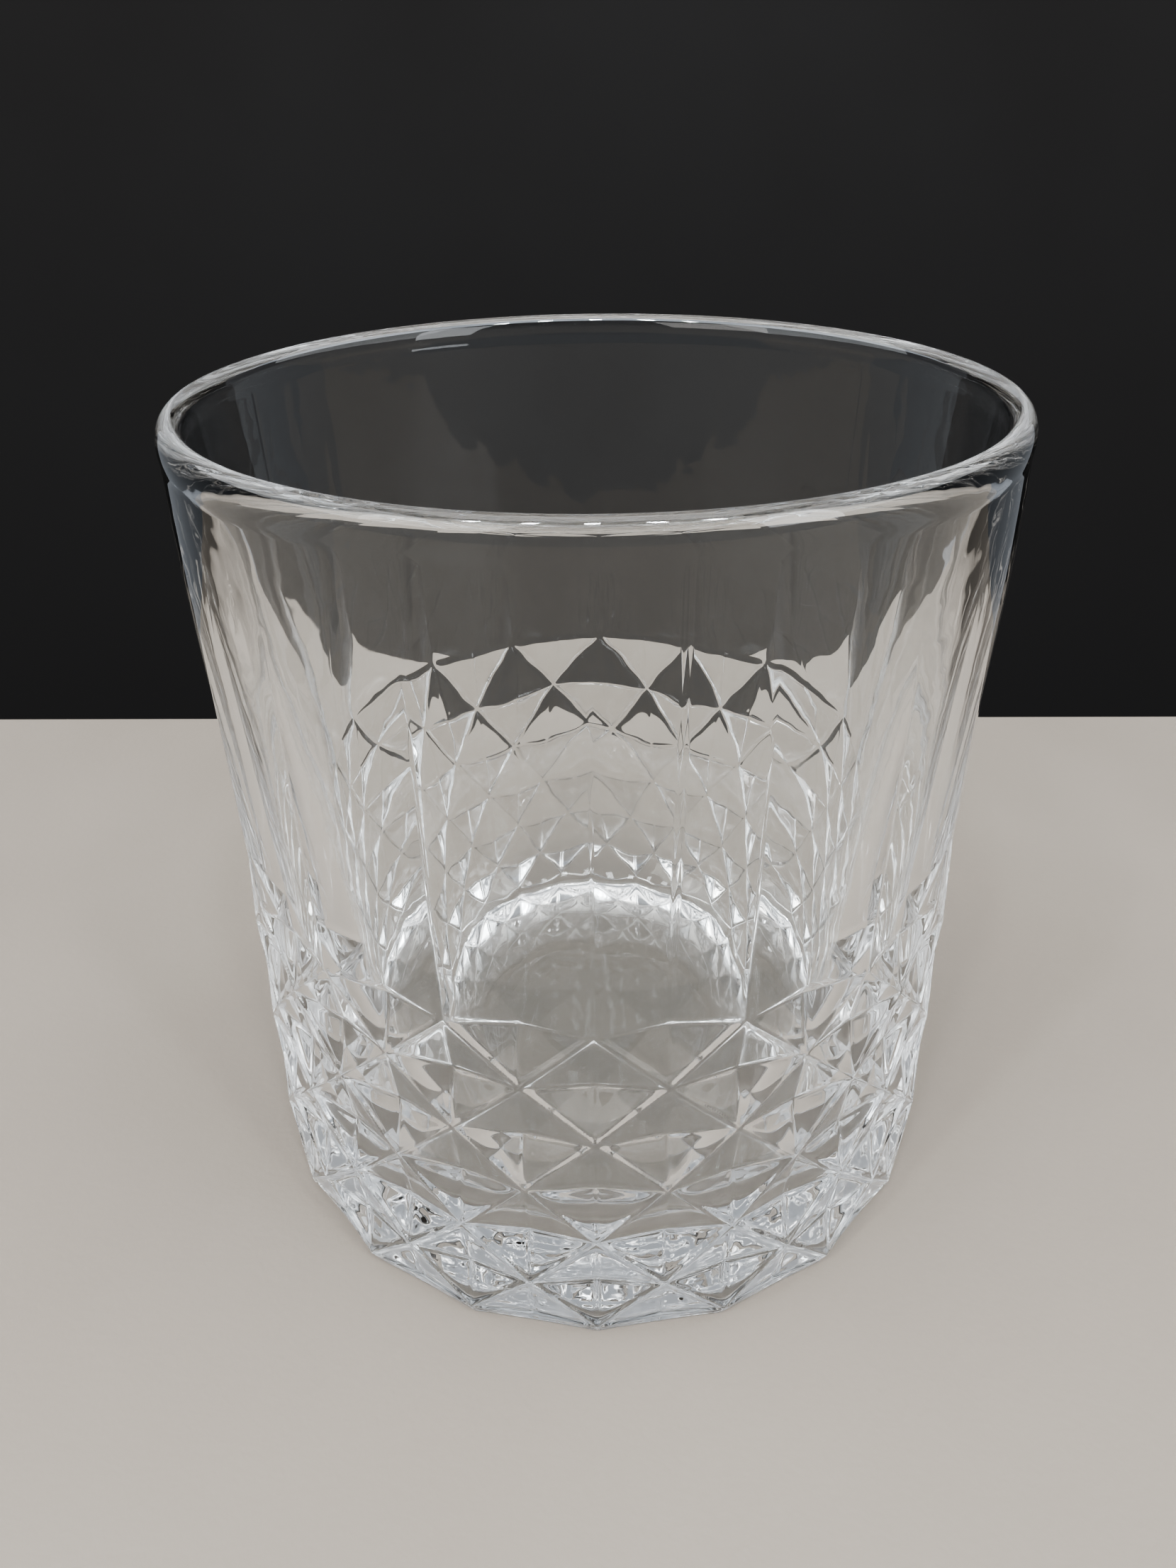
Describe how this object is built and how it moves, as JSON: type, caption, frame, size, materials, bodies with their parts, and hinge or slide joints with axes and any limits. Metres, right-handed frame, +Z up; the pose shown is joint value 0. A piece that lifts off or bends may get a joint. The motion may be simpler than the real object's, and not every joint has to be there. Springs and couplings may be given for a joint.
{
  "type": "whiskey tumbler",
  "caption": "Clear pressed-glass whiskey tumbler with a diamond-faceted lower wall, shallow flutes above and a thick base.",
  "frame": {"origin": "centre of the resting plane, on the glass's axis", "axes": "+Z up along the axis towards the open mouth; a column of facet corners faces -Y"},
  "size_m": [0.088, 0.088, 0.0956],
  "materials": {
    "clear_glass": "polished"
  },
  "bodies": {
    "root": {"tumbler": "clear_glass"}
  },
  "joints": []
}
